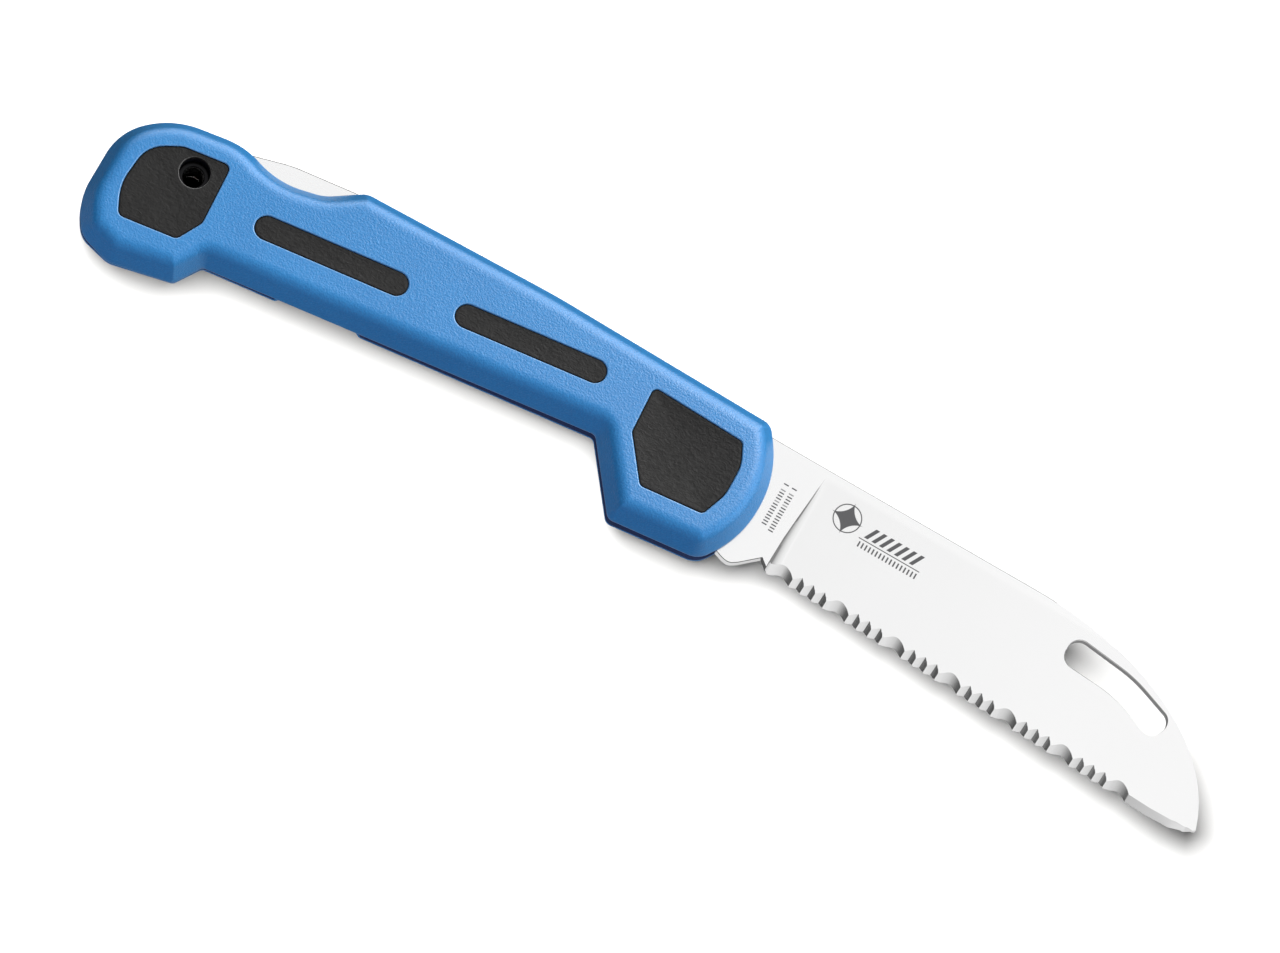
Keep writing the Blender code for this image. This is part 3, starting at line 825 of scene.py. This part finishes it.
# One gullet: share of its pitch, height of the cutting edge, and height at
# which the ground facet meets the right-hand face.
SMALL = [(0.0, 0.0, 1.1), (0.12, 0.02, 1.36), (0.3, 0.12, 1.68),
         (0.45, 0.24, 1.92), (0.57, 0.34, 2.07), (0.78, 0.17, 1.62)]
LARGE = [(0.0, 0.0, 1.05), (0.08, 0.05, 1.26), (0.16, 0.12, 1.5),
         (0.23, 0.19, 1.76), (0.30, 0.28, 1.98), (0.36, 0.40, 2.11),
         (0.42, 0.52, 2.19), (0.48, 0.62, 2.22), (0.54, 0.69, 2.22),
         (0.61, 0.70, 2.16), (0.68, 0.66, 2.05), (0.75, 0.56, 1.92),
         (0.82, 0.42, 1.75), (0.88, 0.29, 1.55), (0.93, 0.18, 1.36)]


def serrated_edge():
    pitches = [LARGE_PITCH] + ([SMALL_PITCH] * 3 + [LARGE_PITCH]) * 6
    ex, ey = math.cos(EDGE_ANGLE), math.sin(EDGE_ANGLE)

    def at(u, v):
        return (EDGE_START[0] + u * ex - v * ey, EDGE_START[1] + u * ey + v * ex)

    pairs = [(at(-0.35, 0.0), at(-0.35, 1.05))]
    u = 0.0
    for pitch in pitches:
        for share, low, high in (LARGE if pitch == LARGE_PITCH else SMALL):
            pairs.append((at(u + share * pitch, low), at(u + share * pitch, high)))
        u += pitch
    pairs.append((at(u, 0.0), at(u, 1.15)))
    for low, high in (((87.7, -11.85), (87.9, -10.72)), ((91.6, -11.75), (91.7, -10.66)),
                      ((94.0, -11.2), (93.9, -10.6)), ((95.3, -10.55), (95.2, -10.45)),
                      ((97.0, -9.3), (96.9, -9.2))):
        pairs.append((low, high))
    return pairs


def blade():
    spine = bezier((57.7, SPINE_Y), (76.0, 9.3), (91.8, 2.3), (95.55, -10.0), 48)
    out = [EDGE_START, (22.5, -9.6), (84.0, -12.6), (88.0, -13.0), (92.3, -12.8),
           (95.0, -12.1), (95.9, -11.0)]
    out += list(reversed(spine))
    out += [(0.9, SPINE_Y)]
    out += [(6.5 * math.cos(math.radians(a)), 6.5 * math.sin(math.radians(a)))
            for a in range(82, 266, 4)]
    out += [(4.6, -7.4), (9.0, -9.3), (11.2, -10.1), (12.0, -10.38),
            (12.5, -10.5), (13.0, -10.55), (13.4, -10.5), (13.8, -10.35),
            (14.6, -9.8), (17.4, -7.3)]
    r = 0.09
    obj = to_object("blade_work", stack([
        [(x, y, z) for x, y in drawn_in(out, d)]
        for d, z in ((r, -BLADE_HALF), (r * 0.3, -BLADE_HALF + r * 0.3),
                     (0, -BLADE_HALF + r), (0, BLADE_HALF - r),
                     (r * 0.3, BLADE_HALF - r * 0.3), (r, BLADE_HALF))]))

    plunge = [(19.7, 11.5), (19.6, 8.5), (19.4, 5.0), (19.05, 1.0), (18.75, -3.0),
              (18.65, -7.0), (18.65, -15.0)]

    def foot(y):
        for (x0, y0), (x1, y1) in zip(plunge, plunge[1:]):
            if y <= y0 and y >= y1:
                return lerp(x0, x1, (y - y0) / (y1 - y0))
        return plunge[-1][0]

    def grind():
        # Rings run round the ground area; the plunge is a hollow fillet.
        rows = []
        ys = [11.5, 10.0] + [8.5 - 0.5 * k for k in range(48)]
        for y in ys:
            z = BLADE_HALF - GRIND_SLOPE * (GRIND_TOP - y)
            deep = max(0.0, BLADE_HALF - z)
            x = foot(y)
            wide = 1.8 * deep + 0.12
            row = [(101.0, y, z), (x + 0.9 + wide, y, z)]
            for k in range(1, 10):
                t = k / 10
                row.append((x + (0.9 + wide) * (1 - t) - wide * t * 0.0, y,
                            z + deep * (1 - math.sqrt(max(0.0, 1 - t * t))) * 0.95))
            row.append((x - 0.10 * deep, y, z + deep + 0.02))
            row.append((x - 0.10 * deep - 0.6, y, 3.0))
            row.append((101.0, y, 3.0))
            rows.append(row)
        return stack(rows)

    def edge():
        rings = []
        for low, high in serrated_edge():
            e = Vector((*low, -half_thickness(low[1])))
            n = Vector((*high, half_thickness(high[1])))
            d = n - e
            a, b = n + d * 0.35, e - d * 0.35
            rings.append([a, b, Vector((e.x, e.y - 4.0, -2.5)),
                          Vector((e.x, e.y - 4.0, 2.8))])
        return stack(rings)

    def slot():
        levels = [(-3.0, 0.12), (-half_thickness(2.5) + 0.0, 0.10),
                  (-half_thickness(2.5) + 0.12, 0.0),
                  (half_thickness(2.5) - 0.12, 0.0), (half_thickness(2.5), 0.10),
                  (3.0, 0.12)]
        return stack([[(x, y, z) for x, y in rounded(SLOT, 20, -g)]
                      for z, g in levels])

    carved(obj, [grind(), flip(grind()), edge(), slot(),
                 prism(circle(0, 0, PIVOT_HOLE_R), -3, 3)])
    return obj


blade_work = blade()
# the walls of the thumb slot get a dark steel: painted shade
inside = [(x, y) for x, y in rounded(SLOT, 8, -0.3)]


blade_obj = finished(blade_work, "blade_fine", [STEEL, SLOT_PAINTED_SHADE, EDGE_PAINTED_SHADE],
                     "blade", "blade", 24)
for p in blade_obj.data.polygons:
    x, y = p.center.x / MM - PIVOT[0], p.center.y / MM - PIVOT[1]
    # Slot walls take the painted shade.
    if abs(p.normal.z) < 0.3 and in_loop(x, y, inside):
        p.material_index = 1
    # Spine and tang chamfers and the notch wall take the painted shade line.
    elif 0.3 < p.normal.z < 0.95 and (
            (p.normal.y > 0.2 and x < 60.0 and y > 9.5)
            or (p.normal.y < -0.2 and x < 18.8 and y < -5.0)):
        p.material_index = 2
    elif abs(p.normal.z) < 0.3 and p.normal.x < -0.5 and x < 19.2 and y < -7.0:
        p.material_index = 2

# ---------------------------------------------- lock bar, spring, pins, tube
bar = to_object("bar_work", softened(spaced([rounded(LOCK_BAR, 8)], 2.0)[0],
                                     -BLADE_HALF, BLADE_HALF, 0.13))
carved(bar, [prism(circle(*BAR_PIN, 1.58, 40), -3, 3)])
bar = finished(bar, "lock_bar_fine", [BAR_STEEL, EDGE_PAINTED_SHADE], "lock_bar",
               "lock_bar", 30)
# The top-edge chamfer of the lock bar takes the painted shade line.
for p in bar.data.polygons:
    if 0.1 < p.normal.z < 0.98 and p.normal.y > 0.1:
        p.material_index = 1


def leaf_spring():
    """A flat leaf over its pin; its rear arm follows the lock bar."""
    under = []
    for k in range(61):
        x = lerp(-41.0, -76.5, k / 60)
        if x > SPRING_PIN[0]:
            s = (x - SPRING_PIN[0]) / (-41.0 - SPRING_PIN[0])
            y = lerp(3.7, 4.25, s * s)
        else:
            s = (x - SPRING_PIN[0]) / (-76.5 - SPRING_PIN[0])
            y = lerp(3.7, 4.95, s ** 1.7)
        under.append((x, y))
    over = [(x, y + 0.6) for x, y in reversed(under)]
    return softened(over + under, -1.1, 1.1, 0.07, 2)


spring = finished(to_object("spring_work", leaf_spring()), "lock_spring_fine",
                  SPRING, None, "lock_spring", 30)
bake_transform(spring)

head_z = HALF_HANDLE - INLAY_SINK - INLAY_THICK - 0.05 - 0.06
half = [(3.05, 0.0), (3.28, 0.05), (3.4, 0.2), (3.4, 0.8), (2.0, 0.8)]
profile = [(r, -head_z + d) for r, d in half] + [(r, head_z - d)
                                                 for r, d in reversed(half)]
finished(to_object("rivet_work", stack([[(x, y, z) for x, y in circle(0, 0, r)]
                                        for r, z in profile])),
         "pivot_rivet_fine", PIN, "handle", "blade_pivot_rivet")
for name, centre, r, top, node in (
        ("lock_bar_pin_fine", BAR_PIN, 1.5, 4.65, "lock_bar_pin"),
        ("spring_pin_fine", SPRING_PIN, 1.0, 3.3, "spring_pin")):
    profile = [(r - 0.15, -top), (r - 0.04, -top + 0.04), (r, -top + 0.15),
               (r, top - 0.15), (r - 0.04, top - 0.04), (r - 0.15, top)]
    finished(to_object(name, stack([[(x, y, z) for x, y in circle(*centre, q, 48)]
                                    for q, z in profile])),
             name, PIN, "handle", node)
for tag, side in (("right", +1), ("left", -1)):
    low = BLADE_HALF + 0.08
    bm = turned([(2.1, low + 0.06), (2.16, low), (5.42, low), (5.5, low + 0.06),
                 (5.5, low + 0.34), (5.42, low + 0.4), (2.16, low + 0.4),
                 (2.1, low + 0.34)], 0, 0)
    finished(to_object("washer_work", bm if side > 0 else flip(bm)),
             f"washer_{tag}_fine", BRONZE, "handle", f"pivot_washer_{tag}")

tube = []
for r0, r1, z0, z1 in ((1.6, 2.42, -3.5, 3.5),):
    e = 0.22
    for k in range(5):
        a = math.pi / 2 * k / 4
        tube.append((r0 + e * (1 - math.sin(a)), z1 - e * (1 - math.cos(a))))
    down = [(r0, z) for z in (3.0, 2.0, 1.0, 0.0, -1.0, -2.0, -3.0)]
    low_in = [(r, -z) for r, z in reversed(tube)]
    outer = [(r1 - 0.1, -3.5), (r1, -3.4), (r1, 3.4), (r1 - 0.1, 3.5)]
    tube = tube + down + low_in + outer
finished(to_object("tube_work", turned(tube, *LANYARD, 72)), "lanyard_tube_fine",
         TUBE, "handle", "lanyard_tube")
spacer = to_object("spacer_work", softened(spaced([rounded(SPACER, 8)], 1.5)[0],
                                           -HALF_GAP + 0.08, HALF_GAP - 0.08, 0.12))
carved(spacer, [prism(circle(*LANYARD, LANYARD_R), -3, 3)])
# The spacer carries the painted shade.
finished(spacer, "butt_spacer_fine", SPACER_PAINTED_SHADE, "handle", "butt_spacer")

# -------------------------------------------------------------------- studio
floor_bm = bmesh.new()
bmesh.ops.create_circle(floor_bm, cap_ends=True, radius=4.0, segments=96)
floor_mesh = bpy.data.meshes.new("floor")
floor_bm.to_mesh(floor_mesh)
floor_bm.free()
floor = bpy.data.objects.new("floor", floor_mesh)
floor.location = (0, 0, -0.00002)
bpy.context.scene.collection.objects.link(floor)
floor.visible_diffuse = False
floor.visible_glossy = False
floor.visible_shadow = False
fg = Graph("floor_white")
fg.out((0.868, 0.865, 0.856), 1.0, None, 0.0)
fg.shader.inputs["Specular IOR Level"].default_value = 0.0
floor_mesh.materials.append(fg.mat)
floor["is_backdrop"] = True

# A black disc on the floor under the lanyard hole, a painted shadow, so that the hole
# reads dark.
dot_bm = bmesh.new()
bmesh.ops.create_circle(dot_bm, cap_ends=True, radius=2.3 * MM, segments=48)
dot_mesh = bpy.data.meshes.new("hole_painted_shadow_dot")
dot_bm.to_mesh(dot_mesh)
dot_bm.free()
dot = bpy.data.objects.new("hole_painted_shadow_dot", dot_mesh)
dot.location = ((PIVOT[0] + LANYARD[0]) * MM, (PIVOT[1] + LANYARD[1]) * MM, 0.00001)
bpy.context.scene.collection.objects.link(dot)
dg = Graph("hole_painted_shadow")
dg.out((0.004, 0.004, 0.004), 1.0, None, 0.0, Specular_IOR_Level=0.0)
dot_mesh.materials.append(dg.mat)
dot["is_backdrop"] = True

# What the polished parts reflect: a soft sky, bright overhead and towards the
# back and the tip, dim low down on the belly and butt sides.
world = bpy.data.worlds.new("studio")
bpy.context.scene.world = world
world.use_nodes = True
world.cycles_visibility.diffuse = False
wt = world.node_tree
background = wt.nodes["Background"]


def wnode(kind, inputs=None, **settings):
    node = wt.nodes.new(kind)
    for key, value in settings.items():
        setattr(node, key, value)
    for key, value in (inputs or {}).items():
        if isinstance(value, bpy.types.NodeSocket):
            wt.links.new(value, node.inputs[key])
        else:
            node.inputs[key].default_value = value
    return node


way = wnode("ShaderNodeTexCoord").outputs["Generated"]
part = wnode("ShaderNodeSeparateXYZ", {0: way})
dx, dy, dz = part.outputs


def wrange(value, a, b, c, d, smooth=False):
    return wnode("ShaderNodeMapRange",
                 {"Value": value, "From Min": a, "From Max": b, "To Min": c,
                  "To Max": d},
                 interpolation_type='SMOOTHSTEP' if smooth else 'LINEAR').outputs[0]


def wmath(op, a, b=0.0):
    return wnode("ShaderNodeMath", {0: a, 1: b}, operation=op).outputs[0]


def wmix(fac, a, b):
    node = wnode("ShaderNodeMix", data_type='FLOAT')
    for index, value in ((0, fac), (2, a), (3, b)):
        if isinstance(value, bpy.types.NodeSocket):
            wt.links.new(value, node.inputs[index])
        else:
            node.inputs[index].default_value = value
    return node.outputs[0]


# Low down: dim on the butt side (-X), light in front of the belly (-Y) and
# towards the tip, a little dimmer straight off the tip.
low_light = wrange(dx, -0.9, 0.35, 0.03, 0.88, True)
low_light = wmath('MULTIPLY', low_light, wrange(dx, 0.75, 1.0, 1.0, 0.55, True))
over = wmath('ADD', wmath('MULTIPLY', dy, 0.65), wmath('MULTIPLY', dx, 0.3))
over = wmath('ADD', over, 0.895)
over = wmath('MAXIMUM', wmath('MINIMUM', over, 1.4), 0.12)
glow = wmath('ADD', wmath('MULTIPLY', dx, 0.62), wmath('MULTIPLY', dy, 0.78))
low_light = wmath('ADD', low_light, wrange(glow, 0.30, 0.80, 0.0, 1.2, True))
upper = wmix(wrange(dz, 0.30, 0.75, 0.0, 1.0, True), low_light, over)
light = wmix(wrange(dz, -0.1, -0.6, 0.0, 1.0, True), upper,
             wrange(dy, -0.10, 0.30, 0.75, 0.10, True))
wt.links.new(light, background.inputs["Strength"])
background.inputs["Color"].default_value = (1.0, 1.0, 1.0, 1.0)


def aim(obj, where, target=(0, 0, 0)):
    obj.location = where
    d = (Vector(target) - Vector(where)).normalized()
    obj.rotation_mode = 'QUATERNION'
    obj.rotation_quaternion = d.to_track_quat('-Z', 'Y')


def sun(name, where, energy, angle, glossy=False):
    data = bpy.data.lights.new(name, 'SUN')
    data.energy = energy
    data.angle = math.radians(angle)
    obj = bpy.data.objects.new(name, data)
    bpy.context.scene.collection.objects.link(obj)
    aim(obj, where)
    obj.visible_glossy = glossy
    return obj


only_object = bpy.data.collections.new("lit_object")
only_floor = bpy.data.collections.new("lit_floor")
only_floor.objects.link(floor)
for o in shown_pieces():
    only_object.objects.link(o)

only_plastic = bpy.data.collections.new("lit_plastic")
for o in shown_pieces():
    if "handle_" in o.name or "inlay" in o.name:
        only_plastic.objects.link(o)

# the white floor takes no blue cast from the handle
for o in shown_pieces():
    if o.name.startswith("handle_"):
        o.visible_diffuse = False

dome = sun("dome", (0.1, 0.15, 1.0), 1.5, 150)
key = sun("key", (0.47, 0.60, 0.643), 2.35, 50)
fill = sun("fill_low", (-0.12, -0.8, 0.25), 0.66, 90)
fill.data.color = (0.92, 0.66, 1.0)
under = sun("fill_under", (0.1, -0.2, -1.0), 0.5, 120)
for lamp in (dome, key, fill, under):
    lamp.light_linking.receiver_collection = only_object
disc = bpy.data.lights.new("floor_top", 'AREA')
disc.shape = 'DISK'
disc.size = 0.50
disc.energy = 6.0
top = bpy.data.objects.new("floor_top", disc)
bpy.context.scene.collection.objects.link(top)
aim(top, (-0.155, 0.062, 0.42), (-0.155, 0.062, 0.0))
top.visible_glossy = False
top.light_linking.receiver_collection = only_floor

# A box light that only shows as sheen on the plastic and the rubber; it hangs
# near the blade's end, so the sheen fades towards the butt.
soft = bpy.data.lights.new("softbox", 'AREA')
soft.shape = 'RECTANGLE'
soft.size, soft.size_y = 0.16, 0.16
soft.energy = 1.6
softbox = bpy.data.objects.new("softbox", soft)
bpy.context.scene.collection.objects.link(softbox)
aim(softbox, (0.070, 0.175, 0.26), (0.0, 0.0, 0.0))
softbox.visible_diffuse = False
softbox.light_linking.receiver_collection = only_plastic

for name, where, wide, high, power in (
        ("back_panel", (-0.14, 0.62, 0.22), 1.0, 0.65, 12.0),
        ("end_panel", (0.62, 0.12, 0.22), 0.6, 0.65, 4.2)):
    data = bpy.data.lights.new(name, 'AREA')
    data.shape = 'RECTANGLE'
    data.size, data.size_y = wide, high
    data.energy = power
    panel = bpy.data.objects.new(name, data)
    bpy.context.scene.collection.objects.link(panel)
    aim(panel, where)
    panel.visible_diffuse = False
    panel.light_linking.receiver_collection = only_plastic

only_steel = bpy.data.collections.new("lit_steel")
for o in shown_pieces():
    if o.name in ("blade_fine", "lock_bar_fine"):
        only_steel.objects.link(o)
strip = bpy.data.lights.new("tip_sheen", 'AREA')
strip.shape = 'RECTANGLE'
strip.size, strip.size_y = 0.12, 0.12
strip.energy = 0.0040
sheen = bpy.data.objects.new("tip_sheen", strip)
bpy.context.scene.collection.objects.link(sheen)
aim(sheen, (0.115, 0.035, 0.30), (0.085, 0.0, 0.0))
sheen.visible_diffuse = False
sheen.light_linking.receiver_collection = only_steel

# -------------------------------------------------------------------- camera
cam_data = bpy.data.cameras.new("camera")
cam_data.lens = 400.0
cam_data.sensor_width = 36.0
cam_data.clip_start = 0.05
cam_data.clip_end = 30.0
camera = bpy.data.objects.new("camera", cam_data)
bpy.context.scene.collection.objects.link(camera)
bpy.context.scene.camera = camera

TILT = math.radians(12.5)
TURN = math.radians(30.0)
back = Vector((0.012, -math.sin(TILT) / math.cos(TILT), 1.0)).normalized()
across = Vector((1.0, 0.0, 0.0))
across = (across - back * across.dot(back)).normalized()
upward = back.cross(across)
right = (across * math.cos(TURN) + upward * math.sin(TURN)).normalized()
up = back.cross(right)
SHOT_WIDTH = 0.19584
distance = SHOT_WIDTH * cam_data.lens / cam_data.sensor_width
target = Vector((PIVOT[0] - 4.99, PIVOT[1] - 5.57, 7.0)) * MM
turn = Matrix((right, up, back)).transposed()
camera.matrix_world = Matrix.Translation(target + back * distance) @ turn.to_4x4()

bpy.context.scene.view_settings.view_transform = 'Standard'
bpy.context.scene.view_settings.look = 'None'
